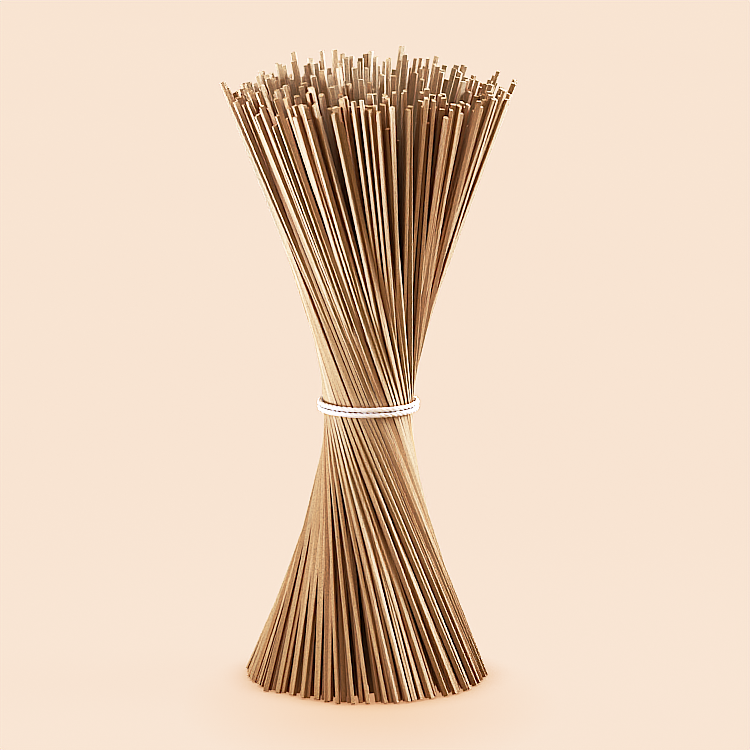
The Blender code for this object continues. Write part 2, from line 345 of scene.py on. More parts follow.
def calculated(tree, operation, *values):
    """What this operation makes of the values."""
    links = dict(enumerate(values))
    return add_node(tree, "ShaderNodeMath", links=links, operation=operation).outputs["Value"]


def darkened(tree, base, shade):
    """The colour times this shade, which is a colour or a value."""
    return mixed(tree, 1.0, base, shade, "MULTIPLY")


def openness(tree, reach, limits):
    """How open the place is: less where something lies within reach. The materials darken by it to paint
    shade.
    """
    node = add_node(tree, "ShaderNodeAmbientOcclusion", {"Distance": reach}, samples=GAP_SAMPLES)
    return between(tree, node.outputs["AO"], *limits)


def soft_spot(tree, place, middle, reach):
    """A value that falls from 1 in the middle to 0 at its reach in each direction."""
    inputs = {"Location": middle, "Scale": reach}
    there = add_node(tree, "ShaderNodeMapping", inputs, {"Vector": place}, vector_type="TEXTURE")
    links = {"Vector": there.outputs["Vector"]}
    spot = add_node(tree, "ShaderNodeTexGradient", links=links, gradient_type="SPHERICAL")
    return spot.outputs["Fac"]


def face_shares(tree):
    """How near to an edge a point is, and whether it is on a cut side: both from 0 to 1. The pale edges
    there are floury wear and painted highlight lines.
    """
    apart = add_node(tree, "ShaderNodeSeparateXYZ", links={"Vector": map_place(tree, "across")})
    size = calculated(tree, "ABSOLUTE", apart.outputs["X"])
    return between(tree, size, *EDGE_RANGE), apart.outputs["Y"]


def buckwheat_material():
    """Dried buckwheat dough: brown rolled faces, floury cut sides, dark and pale grains, pale edges of
    floury wear and painted highlight, and painted shade in the gaps.
    """
    values = settings()
    made, tree, shader = new_material("buckwheat_dough")
    place = add_node(tree, "ShaderNodeTexCoord").outputs["Object"]
    grain = map_place(tree, "grain")
    edge, cut = face_shares(tree)
    tone = add_node(tree, "ShaderNodeAttribute", attribute_name="tone").outputs["Fac"]
    base = mixed(tree, tone, values.dark_dough, values.pale_dough)
    cloudy = noise(tree, mapped(tree, grain, CLOUD_SCALE), 1.0, 3.0, 0.55)
    base = mixed(tree, between(tree, cloudy, *CLOUD_RANGE), base, values.pale_dough)
    base = mixed(tree, between(tree, cut, 0, 1, 0.0, CUT_PALENESS), base, values.flour)
    streaks = noise(tree, mapped(tree, grain, STREAK_SCALE), 1.0, 2.0, 0.6)
    base = darkened(tree, base, between(tree, streaks, *STREAK_RANGE))
    meal = noise(tree, place, MEAL_SCALE, 2.0, 0.7)
    base = darkened(tree, base, between(tree, meal, *MEAL_RANGE))
    specks = noise(tree, place, SPECK_SCALE, 1.0, 0.5)
    base = mixed(tree, between(tree, specks, *SPECK_RANGE), base, values.hull_specks)
    # The pale edges are partly floury wear and partly painted highlight lines.
    worn = calculated(tree, "MULTIPLY", edge, between(tree, cloudy, *RAGGED_RANGE))
    base = mixed(tree, worn, base, values.flour)
    # Painted shade: the colour darkens towards the gap shade where neighbouring noodles lie close.
    shade = mixed(tree, openness(tree, GAP_REACH, GAP_RANGE), values.gap_painted_shade, (1, 1, 1))
    links = {"Base Color": darkened(tree, base, shade), "Roughness": between(tree, cloudy, *ROUGH_RANGE)}
    inputs = {"Specular IOR Level": 0.35, "Sheen Weight": 0.4, "Sheen Roughness": 0.4}
    fill_inputs(tree, shader, inputs, links)
    bumped(tree, shader, ((streaks, 0.4, GRAIN_DEPTH), (meal, 0.6, GRAIN_DEPTH)))
    return made


def cotton_material():
    """White cotton: fine fibres that run along each twisted ply, and a faint painted glow."""
    values = settings()
    made, tree, shader = new_material("twisted_cotton")
    place = add_node(tree, "ShaderNodeTexCoord").outputs["Object"]
    fibres = noise(tree, mapped(tree, map_place(tree, "grain"), FIBRE_SCALE), 1.0, 3.0, 0.6)
    lumps = noise(tree, place, LUMP_SCALE, 2.0, 0.5)
    colour = mixed(tree, between(tree, fibres, *FIBRE_RANGE), values.cotton_shade, values.cotton)
    # COTTON_GLOW is painted light: the string glows in its own fibre colour.
    inputs = {"Emission Strength": COTTON_GLOW, "Roughness": 0.9, "Specular IOR Level": 0.2}
    inputs.update({"Sheen Weight": 0.5, "Sheen Roughness": 0.5})
    fill_inputs(tree, shader, inputs, {"Base Color": colour, "Emission Color": colour})
    bumped(tree, shader, ((fibres, 0.7, FIBRE_DEPTH), (lumps, 0.5, LUMP_DEPTH)))
    return made


def floor_material():
    """A matte pale peach surface, with painted shade close to the noodles and a painted shadow in front
    of them.
    """
    values = settings()
    made, tree, shader = new_material("studio_floor")
    place = add_node(tree, "ShaderNodeTexCoord").outputs["Object"]
    bright = values.floor_colour
    dim = tuple(channel * FLOOR_DIMMING for channel in bright)
    colour = mixed(tree, noise(tree, place, FLOOR_SCALE, 2.0, 0.5), bright, dim)
    # Painted shadow: the floor darkens where the noodles lie close, and in a soft spot in front of them.
    near = openness(tree, CONTACT_REACH, CONTACT_RANGE)
    colour = darkened(tree, colour, mixed(tree, near, values.contact_painted_shadow, (1, 1, 1)))
    shadow = soft_spot(tree, place, SHADOW_MIDDLE, SHADOW_REACH)
    colour = mixed(tree, shadow, colour, values.front_painted_shadow, "MULTIPLY")
    reflected = darkened(tree, colour, (FLOOR_SHARE,) * 3)
    inputs = {"Roughness": 0.9, "Specular IOR Level": 0.1, "Emission Strength": FLOOR_GLOW}
    fill_inputs(tree, shader, inputs, {"Base Color": reflected, "Emission Color": colour})
    return made


# The noodles' rectangles, where they cross a level


def directions(angles):
    """A direction for each angle."""
    return np.stack([np.cos(angles), np.sin(angles)], axis=1)


def overlap(centres, turns, halves, pairs):
    """How far each pair of rectangles overlaps, and the direction that parts them."""
    first, second = pairs
    offset = centres[second] - centres[first]
    least = np.full(len(first), np.inf)
    away = np.zeros((len(first), 2))
    for base in (turns[first], turns[first] + QUARTER, turns[second], turns[second] + QUARTER):
        axis = directions(base)
        reach = np.zeros(len(first))
        for one in pairs:
            reach += halves[one, 0] * np.abs(np.cos(turns[one] - base))
            reach += halves[one, 1] * np.abs(np.sin(turns[one] - base))
        along = (offset * axis).sum(axis=1)
        depth = reach - np.abs(along)
        nearer = depth < least
        least = np.where(nearer, depth, least)
        outward = np.where(along < 0, -1, 1)[:, None] * axis
        away = np.where(nearer[:, None], outward, away)
    return np.clip(least, 0, None), away


def neighbours(centres):
    """The index pairs of the rectangles whose middles are close."""
    apart = np.linalg.norm(centres[:, None] - centres[None], axis=2)
    return np.nonzero(np.triu(apart < NEIGHBOUR, 1))


def parting(centres, turns, halves, pairs):
    """The small move of each rectangle away from those that it overlaps."""
    depth, away = overlap(centres, turns, halves, pairs)
    push = PUSH_SHARE * depth[:, None] * away
    move = np.zeros_like(centres)
    np.add.at(move, pairs[1], push)
    np.add.at(move, pairs[0], -push)
    return move


def crowding(centres, turns, halves, pairs):
    """Each rectangle's overlaps added up."""
    depth, _ = overlap(centres, turns, halves, pairs)
    total = np.zeros(len(centres))
    np.add.at(total, pairs[0], depth)
    np.add.at(total, pairs[1], depth)
    return np.round(total, CROWD_DECIMALS)


def radii(centres):
    """Distances from the axis, never quite zero."""
    return np.linalg.norm(centres, axis=1) + NOT_ZERO


def against_radius(centres, turns):
    """Each rectangle's turn measured from the outward direction."""
    return turns - np.arctan2(centres[:, 1], centres[:, 0])


def kept_inside(centres, turns, halves, wall):
    """The middles, with each rectangle that reaches past the wall drawn inwards."""
    turned = against_radius(centres, turns)
    reach = halves[:, 0] * np.abs(np.cos(turned)) + halves[:, 1] * np.abs(np.sin(turned))
    past = np.clip(radii(centres) + reach - wall, 0, None)
    return centres * (1 - WALL_SHARE * past / radii(centres))[:, None]


def drawn_turns(draw, angles, askew):
    """Turns for rectangles at these angles: some face outwards, some sideways, all askew."""
    sideways = QUARTER * (draw.random(len(angles)) < TANGENT_SHARE)
    return angles + sideways + draw.normal(0, askew, len(angles))


def turned_to_fit(draw, centres, turns, halves, pairs):
    """The turns, each changed a little where that gives a rectangle more room."""
    sizes = draw.normal(0, TURN_TRIAL, len(turns))
    trial = turns + sizes * (draw.random(len(turns)) < TRIED_SHARE)
    before = crowding(centres, turns, halves, pairs)
    after = crowding(centres, trial, halves, pairs)
    return np.round(np.where(after < before, trial, turns), TURN_DECIMALS)


def squared_to_wall(centres, turns, wall):
    """The turns, with the rectangles at the wall laid flatter against it."""
    askew = (against_radius(centres, turns) + QUARTER / 2) % QUARTER - QUARTER / 2
    at_wall = radii(centres) > wall - RIM_DEPTH
    return turns - np.where(at_wall, SQUARING * askew, 0)


def clump_field(draw, centres):
    """A smooth random sideways field over the waist, about 1 in size."""
    field = np.zeros_like(centres)
    for _ in range(CLUMP_WAVES):
        wave = draw.normal(0, 1 / CLUMP_SIZE, 2)
        phase = draw.uniform(0, 2 * math.pi, 2)
        field += np.sin((centres * wave).sum(axis=1)[:, None] + phase)
    return field * math.sqrt(2 / CLUMP_WAVES)


def faced(vectors):
    """The vectors, turned by FACING about the bundle's axis."""
    cosine = math.cos(FACING)
    sine = math.sin(FACING)
    x, y = vectors.T
    return np.stack([x * cosine - y * sine, x * sine + y * cosine], axis=1)


class Layout:
    """Where every noodle lies: its middle, turn and half sizes at the waist, and its slopes."""

    def __init__(self):
        values = settings()
        self.count = values.noodle_count
        self.radius, self.twist = waist()
        self.width = plain(values.noodle_width)
        self.thickness = plain(values.noodle_thickness)
        draw = np.random.default_rng(values.seed)
        centres, turns, halves = self.settled(draw)
        below = faced(self.half_slopes(draw, centres, turns, halves, -1))
        above = faced(self.half_slopes(draw, centres, turns, halves, 1))
        self.centres = faced(centres)
        self.turns = turns + FACING
        self.halves = halves
        self.lengths = self.drawn_lengths(draw, self.centres)
        self.lifts = np.clip(draw.normal(0, FOOT_LIFT, self.count), 0, None)
        self.lifts[0] = 0
        across = self.across(self.centres)
        self.below = across + below
        self.above = across + above
        self.add_fillers(np.random.default_rng(LOOKS_SEED), values.filler_count)

    def across(self, centres):
        """The slopes that the bundle's twist gives to noodles with these middles."""
        return self.twist * np.stack([centres[:, 1], -centres[:, 0]], axis=1)

    def add_fillers(self, draw, count):
        """More noodles, which pass the waist inside the core and fill the gaps of both fans."""
        fixed = self.count
        self.count += count
        angles = draw.uniform(0, 2 * math.pi, count)
        angles += PLEAT_DEPTH * np.sin(PLEATS * angles)
        turns = drawn_turns(draw, angles, FILLER_ASKEW)
        natural = {}
        for side, (low, high, power) in FILLER_AREAS.items():
            area = high - (high - low) * draw.random(count) ** power
            natural[side] = self.radius * np.sqrt(area)[:, None] * directions(angles)
        centres = FILLER_PLACE * (natural[-1] + natural[1]) / 2
        self.centres = np.concatenate([self.centres, centres])
        self.turns = np.concatenate([self.turns, turns])
        self.halves = np.concatenate([self.halves, self.drawn_halves(draw, count)])
        self.lengths = np.concatenate([self.lengths, self.drawn_lengths(draw, natural[1])])
        self.lifts = np.concatenate([self.lifts, np.abs(draw.normal(0, FOOT_LIFT, count))])
        self.below = self.with_fillers(self.below, natural, centres, -1, fixed)
        self.above = self.with_fillers(self.above, natural, centres, 1, fixed)

    def with_fillers(self, slopes, natural, centres, side, fixed):
        """The slopes on this side of the waist, with the fillers' ones out of the others' way."""
        outward = side * (natural[side] - centres) / FAN_HEIGHT
        slopes = np.concatenate([slopes, self.across(natural[side]) + outward])
        for _ in range(FILLER_ROUNDS):
            for rise in FILLER_RISES:
                there = self.centres + side * rise * slopes
                moved = there + parting(there, self.turns, self.halves, neighbours(there))
                moved = kept_inside(moved, self.turns, self.halves, radius_at(rise))
                slopes[fixed:] += side * (moved - there)[fixed:] / rise
        return slopes

    def drawn_halves(self, draw, count):
        """Half the sides of this many rectangles."""
        widths = draw.normal(self.width, WIDTH_SPREAD, count)
        thicknesses = draw.normal(self.thickness, THICKNESS_SPREAD, count)
        return np.stack([widths, thicknesses], axis=1) / 2

    def loose(self, draw):
        """Rectangles spread out evenly, before the string draws them together."""
        order = np.arange(self.count)
        angles = order * GOLDEN_ANGLE
        centres = LOOSE_SPACING * np.sqrt(order)[:, None] * directions(angles)
        centres += draw.normal(0, LOOSE_JITTER, centres.shape)
        halves = self.drawn_halves(draw, self.count) + CLEARANCE
        return centres, drawn_turns(draw, angles, LOOSE_TURN), halves

    def settled(self, draw):
        """The rectangles, packed by a round wall that shrinks to the waist."""
        centres, turns, halves = self.loose(draw)
        for step in range(SETTLE_STEPS + REST_STEPS):
            if step % PAIRING_STEPS == 0:
                pairs = neighbours(centres)
            slack = max(0, 1 - step / SETTLE_STEPS)
            wall = self.radius + slack * (LOOSE_RADIUS - self.radius)
            if slack > 0:
                centres = centres * (1 + OUTWARD_DRIFT)
            for _ in range(PUSHES):
                centres = centres + parting(centres, turns, halves, pairs)
                centres = kept_inside(centres, turns, halves, wall)
                centres[0] = 0
            centres = np.round(centres, PLACE_DECIMALS)
            if slack > 0:
                turns = squared_to_wall(centres, turns, wall)
            turns = turned_to_fit(draw, centres, turns, halves, pairs)
        return centres, turns, halves - CLEARANCE

    def crossing(self, centres, slopes, rise):
        """Where the noodles cross the level that lies this far above the waist."""
        return centres + rise * (self.across(centres) + slopes)

    def fanning(self, centres, crowd, side):
        """The slopes that crowd the outer noodles towards the rim of a fan."""
        place = radii(centres) / self.radius
        inner = 1 - OUTER_SHARE
        outer_place = 1 - (1 - place) * crowd
        inner_place = place * (1 - OUTER_SHARE * crowd) / inner
        moved = np.where(place > inner, outer_place, inner_place) - place
        there = self.crossing(centres, np.zeros(2), side * FAN_HEIGHT)
        outward = there / radii(there)[:, None]
        return side * outward * (moved * radius_at(FAN_HEIGHT) / FAN_HEIGHT)[:, None]

    def half_slopes(self, draw, centres, turns, halves, side):
        """The sideways slopes above (side 1) or below (-1) the waist, eased apart."""
        held_rise = STRING_RISE + plain(settings().string_diameter)
        slopes = CLUMP_SLOPE * clump_field(draw, centres)
        slopes += draw.normal(0, STRAY_SLOPE, slopes.shape)
        slopes += self.fanning(centres, CROWD_ABOVE if side > 0 else CROWD_BELOW, side)
        slopes -= slopes[0]
        for _ in range(EASE_ROUNDS):
            for rise in EASE_RISES:
                there = self.crossing(centres, slopes, side * rise)
                move = parting(there, turns, halves + CLEARANCE, neighbours(there))
                slopes = np.round(slopes + side * move / rise, SLOPE_DECIMALS)
            held = self.crossing(centres, slopes, side * held_rise)
            inwards = kept_inside(held, turns, halves, radius_at(held_rise)) - held
            slopes = np.round(slopes + side * inwards / held_rise, SLOPE_DECIMALS)
            slopes[0] = 0
        return slopes

    def drawn_lengths(self, draw, centres):
        """How long each noodle is: most alike, longest at the rim, and some broken shorter."""
        middle = plain(settings().noodle_length)
        rim = plain(settings().rim_length)
        count = len(centres)
        whole = draw.normal(middle, LENGTH_SPREAD, count)
        whole += (rim - middle) * (radii(centres) / self.radius) ** 2
        broken = draw.random(count) < BROKEN_SHARE
        return whole - broken * draw.uniform(BROKEN_LEAST, BROKEN_MOST, count)


# Modelling helpers


def start_piece(name):
    """Names the object that an operator has just added, and puts it in edit mode."""
    piece = bpy.context.active_object
    piece.name = name
    piece.data.name = name
    bpy.ops.object.mode_set(mode="EDIT")
    return piece


def edit_select(piece, kind, wanted):
    """Selects only the edges or faces of the piece in edit mode that the test wants."""
    bpy.ops.mesh.select_mode(type=kind)
    bpy.ops.mesh.select_all(action="DESELECT")
    shape = bmesh.from_edit_mesh(piece.data)
    parts = shape.edges if kind == "EDGE" else shape.faces
    for part in parts:
        if wanted(part):
            part.select_set(True)
    shape.select_flush_mode()
    bmesh.update_edit_mesh(piece.data)


def upright(edge):
    """Whether an edge runs up."""
    low, high = (corner.co for corner in edge.verts)
    return abs(high.z - low.z) > 2 * math.hypot(high.x - low.x, high.y - low.y)


def level(face):
    """Whether a face lies flat."""
    return abs(face.normal.z) > SQUARE_ON


def finish_piece(piece, finish, maker, slot, *nodes):
    """Gives the piece its material, made if it isn't there yet, and hides the solids it stands for."""
    piece.data.materials.append(bpy.data.materials.get(finish) or maker())
    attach(piece, "root")
    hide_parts(*nodes)


def linked(name, data):
    """A new object with this mesh, light or camera, in the scene."""
    made = bpy.data.objects.new(name, data)
    bpy.context.scene.collection.objects.link(made)
    return made


def linked_piece(name, points, faces):
    """A new piece with these points and faces."""
    mesh = bpy.data.meshes.new(name)
    mesh.from_pydata(np.array(points).tolist(), [], faces)
    return linked(name, mesh)


def fill_layer(mesh, name, places):
    """Writes a UV map of the mesh."""
    flat = [value for place in places for value in place]
    mesh.uv_layers.new(name=name).data.foreach_set("uv", flat)


# The noodles


def noodle_template(width, thickness):
    """One noodle with worn edges and inset ends, stretched to a length of 1 m."""
    bpy.ops.mesh.primitive_cube_add(size=1, location=(0, 0, 0))
    piece = start_piece("noodle")
    bpy.ops.transform.translate(value=(0, 0, 0.5))
    bpy.ops.transform.resize(value=(width, thickness, 1), center_override=(0, 0, 0))
    edit_select(piece, "EDGE", upright)
    bpy.ops.mesh.bevel(offset=EDGE_WEAR)
    edit_select(piece, "EDGE", upright)
    bpy.ops.mesh.subdivide(number_cuts=NOODLE_CUTS)
    edit_select(piece, "FACE", level)
    bpy.ops.mesh.inset(thickness=END_INSET, use_individual=True)
    bpy.ops.object.mode_set(mode="OBJECT")
    return piece


def face_side(face):
    """Which side of the noodle a face of the template is on: wide, narrow, edge or end."""
    x, y, z = (abs(part) for part in face.normal)
    if z > SQUARE_ON:
        return "end"
    if x > SQUARE_ON:
        return "narrow"
    return "wide" if y > SQUARE_ON else "edge"


def template_arrays(piece, width, thickness):
    """The template's points, its faces, and for each corner its place across its face, from
    -1 to 1, and whether the face is a cut side. Inset makes faces in any order: they are sorted."""
    points = np.array([corner.co[:] for corner in piece.data.vertices])
    polygons = sorted(piece.data.polygons, key=lambda face: face.vertices[:])
    faces = [face.vertices[:] for face in polygons]
    across = []
    for face in polygons:
        side = face_side(face)
        for k in face.vertices:
            x, y = points[k, :2]
            outer = max(abs(x) / width, abs(y) / thickness) > ON_OUTLINE
            places = {"end": 1.0 * outer, "narrow": 2 * y / thickness, "wide": 2 * x / width}
            across.append((places.get(side, 1.0), 1.0 * (side in ("narrow", "end"))))
    bpy.data.objects.remove(piece)
    return points, faces, across


class Strand:
    """One noodle's own way of running: where its points lie, from foot to top."""

    def __init__(self, layout, i, looks):
        self.middle = layout.centres[i]
        self.turn = layout.turns[i]
        self.below = layout.below[i]
        self.above = layout.above[i]
        self.inner = np.array((layout.width, layout.thickness)) / 2 - END_INSET / 2
        self.turning = looks.normal(0, TURNING)
        self.bow = looks.normal(0, 1, (2, 2)) * np.array(BOW)[:, None]
        self.lean = looks.normal(0, 1, (2, 2)) * np.array(LEAN)[:, None]
        self.tilt = looks.normal(0, CUT_SLANT, 2)
        self.tone = looks.beta(TONE_EVENNESS, TONE_EVENNESS)
        self.start = looks.uniform(0, GRAIN_LENGTH, 2)
        self.size = SHRUNK * 2 * layout.halves[i] / (layout.width, layout.thickness)
        span_below = WAIST_HEIGHT * math.hypot(1, *self.below)
        rise = (layout.lengths[i] - span_below) / math.hypot(1, *self.above)
        self.foot = layout.lifts[i]
        self.top = WAIST_HEIGHT + rise + layout.lifts[i]

    def offsets(self, template, past):
        """How far each point is from the noodle's middle line, with the noodle's slow turning."""
        turn = self.turn + self.turning * past / REACH
        wide = template[:, 0] * self.size[0]
        thick = template[:, 1] * self.size[1]
        x = wide * np.cos(turn) - thick * np.sin(turn)
        y = wide * np.sin(turn) + thick * np.cos(turn)
        return np.stack([x, y], axis=1)

    def middles(self, past):
        """The middle line at these heights past the waist: two straight halves, a little bowed."""
        past = past[:, None]
        bend = np.sqrt(past**2 + KINK_REACH**2) - KINK_REACH
        straight = self.middle + past * (self.below + self.above) / 2
        straight += bend * (self.above - self.below) / 2
        share = past / REACH
        bow = np.where(past > 0, *self.bow)
        lean = np.where(past > 0, *self.lean)
        return straight + lean * share + bow * (np.abs(share) ** BOW_POWER - np.abs(share))

    def points(self, template):
        """The template's points, laid along this noodle."""
        share = template[:, 2]
        heights = self.foot + (self.top - self.foot) * share
        offsets = self.offsets(template, heights - WAIST_HEIGHT)
        at_foot = share == 0
        at_top = share == 1
        foot_rise = end_rises(offsets, self.below, np.zeros(2))
        foot_rise -= foot_rise[at_foot].min()
        top_rise = end_rises(offsets, self.above, self.tilt)
        hollow = (np.abs(template[:, :2]) < self.inner).all(axis=1)
        heights = heights + np.where(at_foot, foot_rise + hollow * END_HOLLOW, 0)
        heights = heights + np.where(at_top, top_rise - hollow * END_HOLLOW, 0)
        return np.column_stack([self.middles(heights - WAIST_HEIGHT) + offsets, heights])


def end_rises(offsets, slant, tilt):
    """How far each corner of an end slides up its noodle, so that the cut is nearly square."""
    square = -(offsets * slant).sum(axis=1) / (1 + (slant * slant).sum())
    return square + (offsets * tilt).sum(axis=1)


def grain_places(template, faces, strand, length):
    """Each face corner's place in the grain: round the noodle, and along it from a random start."""
    x, y, share = template.T
    round_it = x + y + strand.start[0]
    along = share * length + strand.start[1]
    return [(round_it[k], along[k]) for face in faces for k in face]


def make_noodles():
    """All the noodles as one mesh, each with its own tone."""
    layout = Layout()
    looks = np.random.default_rng(LOOKS_SEED)
    template = noodle_template(layout.width, layout.thickness)
    shape, faces, across = template_arrays(template, layout.width, layout.thickness)
    points = []
    all_faces = []
    tones = []
    grain = []
    length = plain(settings().noodle_length)
    for i in range(layout.count):
        strand = Strand(layout, i, looks)
        points.append(strand.points(shape))
        all_faces.extend([k + i * len(shape) for k in face] for face in faces)
        tones.extend([float(strand.tone)] * len(faces))
        grain.extend(grain_places(shape, faces, strand, length))
    piece = linked_piece("noodle_strands", np.concatenate(points), all_faces)
    tone = piece.data.attributes.new("tone", "FLOAT", "FACE")
    tone.data.foreach_set("value", tones)
    fill_layer(piece.data, "grain", grain)
    fill_layer(piece.data, "across", across * layout.count)
    finish_piece(piece, "buckwheat_dough", buckwheat_material, "buckwheat", "noodles")


def make_core():
    """The middle of the bundle, a slim spindle that no gap shows through."""
    radius, twist = waist()
    bpy.ops.mesh.primitive_cylinder_add(
        vertices=CORE_SIDES,
        radius=radius - CORE_DEPTH,
        depth=2 * CORE_HALF_HEIGHT,
        location=(0, 0, WAIST_HEIGHT),
        calc_uvs=False,
    )
    piece = start_piece("noodle_core")
    edit_select(piece, "EDGE", upright)
    bpy.ops.mesh.subdivide(number_cuts=CORE_CUTS)
    shape = bmesh.from_edit_mesh(piece.data)
    for corner in shape.verts:
        rise = corner.co.z
        turned = math.atan(twist * rise)
        taper = math.sqrt(1 - (rise / CORE_HALF_HEIGHT) ** 4 * CORE_TAPER)
        x, y = corner.co.x * taper, corner.co.y * taper
        corner.co.x = x * math.cos(turned) + y * math.sin(turned)
        corner.co.y = y * math.cos(turned) - x * math.sin(turned)
    bmesh.update_edit_mesh(piece.data)
    bpy.ops.object.mode_set(mode="OBJECT")
    bpy.ops.object.transform_apply()
    bpy.ops.object.shade_smooth()
    mesh = piece.data
    mesh.attributes.new("tone", "FLOAT", "FACE")
    places = [(corner.co.x, corner.co.z) for corner in mesh.vertices]
    fill_layer(mesh, "grain", [places[loop.vertex_index] for loop in mesh.loops])
    fill_layer(mesh, "across", [(0, 0)] * len(mesh.loops))
    finish_piece(piece, "buckwheat_dough", buckwheat_material, "buckwheat", "noodles")


# The string


class Route:
    """The string's route, as its solid has it."""

    def __init__(self):
        self.diameter = plain(settings().string_diameter)
        held = radius_at(STRING_RISE + self.diameter)
        self.turn_radius = held + STRING_GAP + self.diameter / 2

    def on_waist(self, across, up, out):
        """A point round the bundle: across from the middle of the back, up, and out."""
        angle = QUARTER - across / self.turn_radius
        distance = self.turn_radius + out
        height = WAIST_HEIGHT + STRING_RISE + up
        return Vector((distance * math.cos(angle), distance * math.sin(angle), height))

    def rope_points(self, side, lead):
        """One rope's points from its tail to its turn; side is -1 for the left, 1 for the right."""
        strand = STRAND_IN_KNOT * self.diameter
        middle = self.diameter / 2 + KNOT_OUT * strand
        points = []
        for across, up, over in KNOT_ROUTE:
            out = middle - side * over * strand
            points.append(self.on_waist(-side * across * strand, up * strand, out))
        for across, up, out in lead:
            points.append(self.on_waist(side * across, up, out))
        return points

    def turn_points(self):
        """The two turns, from the knot's left round the front twice to its right."""
        around = 2 * math.pi * self.turn_radius
        start = LEFT_LEAD[-1][0]
        finish = 2 * around - RIGHT_LEAD[-1][0]
        points = []
        for i in range(1, 2 * TURN_POINTS):
            along = start + (finish - start) * i / (2 * TURN_POINTS)
            past_back = max(-1, min(1, (along - around) / STEP_DOWN_ACROSS))
            up = -STRING_PITCH / 2 * math.sin(past_back * QUARTER)
            points.append(self.on_waist(-along, up, 0))
        return points

    def points(self):
        """The whole route, and each point's thickness as a share of the string's."""
        left = smooth_route(self.rope_points(-1, LEFT_LEAD), KNOT_STEPS)
        right = smooth_route(self.rope_points(1, RIGHT_LEAD), KNOT_STEPS)
        route = [*left, *self.turn_points(), *reversed(right)]
        in_knot = KNOT_STEPS * len(KNOT_ROUTE)
        shares = np.ones(len(route))
        shares[:in_knot] = STRAND_IN_KNOT
        shares[-in_knot:] = STRAND_IN_KNOT
        return route, shares


def smooth_route(points, steps):
    """Points along a smooth curve through the given ones."""
    route = []
    padded = [points[0], *points, points[-1]]
    for before, start, end, after in zip(padded, padded[1:], padded[2:], padded[3:]):
        for step in range(steps):
            t = step / steps
            leaving = (end - before) / 2
            arriving = (after - start) / 2
            bend = (2 * t**3 - 3 * t**2 + 1) * start + (t**3 - 2 * t**2 + t) * leaving
            bend += (3 * t**2 - 2 * t**3) * end + (t**3 - t**2) * arriving
            route.append(bend)
    return [*route, points[-1]]


def even_points(route, shares):
    """The route's points at even steps along it, how far along they are, and their thickness."""
    path = np.array([point[:] for point in smooth_route(route, ROUTE_STEPS)])
    steps = np.linalg.norm(np.diff(path, axis=0), axis=1)
    run = np.concatenate([[0], np.cumsum(steps)])
    places = np.linspace(0, run[-1], int(run[-1] / PLY_STEP))
    even = np.stack([np.interp(places, run, part) for part in path.T], axis=1)
    return even, places, np.interp(places, run[::ROUTE_STEPS], shares)


def carried_frames(path):
    """Sideways directions along a path that turn as little as they can."""
    ahead = np.gradient(path, axis=0)
    ahead /= np.linalg.norm(ahead, axis=1)[:, None]
    side = np.cross(ahead[0], (0, 0, 1.0))
    sides = []
    for direction in ahead:
        side = side - direction * (side * direction).sum()
        side = side / np.linalg.norm(side)
        sides.append(side)
    return np.array(sides), np.cross(ahead, sides)


def ply_points(middles, thick):
    """The points round one ply, ring by ring."""
    points = []
    for middle, size, first, second in zip(middles, thick, *carried_frames(middles)):
        for k in range(PLY_SIDES):
            angle = 2 * math.pi * k / PLY_SIDES
            points.append(middle + size * (math.cos(angle) * first + math.sin(angle) * second))
    return points


def ply_faces(start, places, radius):
    """The faces of a ply, whose first point has this index, and each face corner's grain."""
    faces = []
    grain = []
    for step, (low, high) in enumerate(zip(places, places[1:])):
        ring = start + step * PLY_SIDES
        for k in range(PLY_SIDES):
            here = ring + k
            beside = ring + (k + 1) % PLY_SIDES
            faces.append((here, beside, beside + PLY_SIDES, here + PLY_SIDES))
            left, right = k * radius, (k + 1) * radius
            grain.extend([(left, low), (right, low), (right, high), (left, high)])
    last = start + (len(places) - 1) * PLY_SIDES
    faces.append(tuple(reversed(range(start, start + PLY_SIDES))))
    faces.append(tuple(range(last, last + PLY_SIDES)))
    grain.extend([(0, 0)] * 2 * PLY_SIDES)
    return faces, grain


def make_string():
    """The string: plies twisted round each other along the route."""
    route, shares = Route().points()
    radius = plain(settings().string_diameter) / 2
    path, places, share = even_points(route, shares)
    first, second = carried_frames(path)
    lumps = np.arange(0, 1, PLY_LUMP)
    looks = np.random.default_rng(LOOKS_SEED)
    points = []
    faces = []
    grain = []
    for ply in range(PLY_COUNT):
        angles = 2 * math.pi * (places / PLY_TURN + ply / PLY_COUNT)
        reach = (radius * PLY_OFFSET * share)[:, None]
        middles = path + reach * (np.cos(angles)[:, None] * first + np.sin(angles)[:, None] * second)
        wobble = np.interp(places, lumps, looks.normal(1, PLY_UNEVENNESS, len(lumps)))
        more_faces, more_grain = ply_faces(len(points), places, radius)
        points.extend(ply_points(middles, radius * PLY_SHARE * share * wobble))
        faces.extend(more_faces)
        grain.extend(more_grain)
    piece = linked_piece("string_plies", points, faces)
    fill_layer(piece.data, "grain", grain)
    piece.data.shade_smooth()
    finish_piece(piece, "twisted_cotton", cotton_material, "cotton", "string")


# The stage


def add_lamp(light, colour, place, direction):
    """A lamp of this colour that shines from this direction, out of the camera's sight."""
    light.color = colour
    lamp = linked(light.name, light)
    lamp.location = place
    lamp.rotation_euler = Vector(direction).to_track_quat("Z", "Y").to_euler()
    lamp.visible_camera = False


def add_softbox(name, power, place, target, spread):
    """A square softbox that shines from its place at its target."""
    light = bpy.data.lights.new(name, "AREA")
    light.energy = power
    light.size = BOX_SIZE
    light.spread = spread
    add_lamp(light, BOX_COLOUR, place, Vector(place) - Vector(target))


def add_top_light(strength):
    """A wide soft light from above."""
    light = bpy.data.lights.new("top", "SUN")
    light.energy = strength
    light.angle = TOP_SOFTNESS
    add_lamp(light, TOP_COLOUR, (0, 0, 1), TOP_DIRECTION)


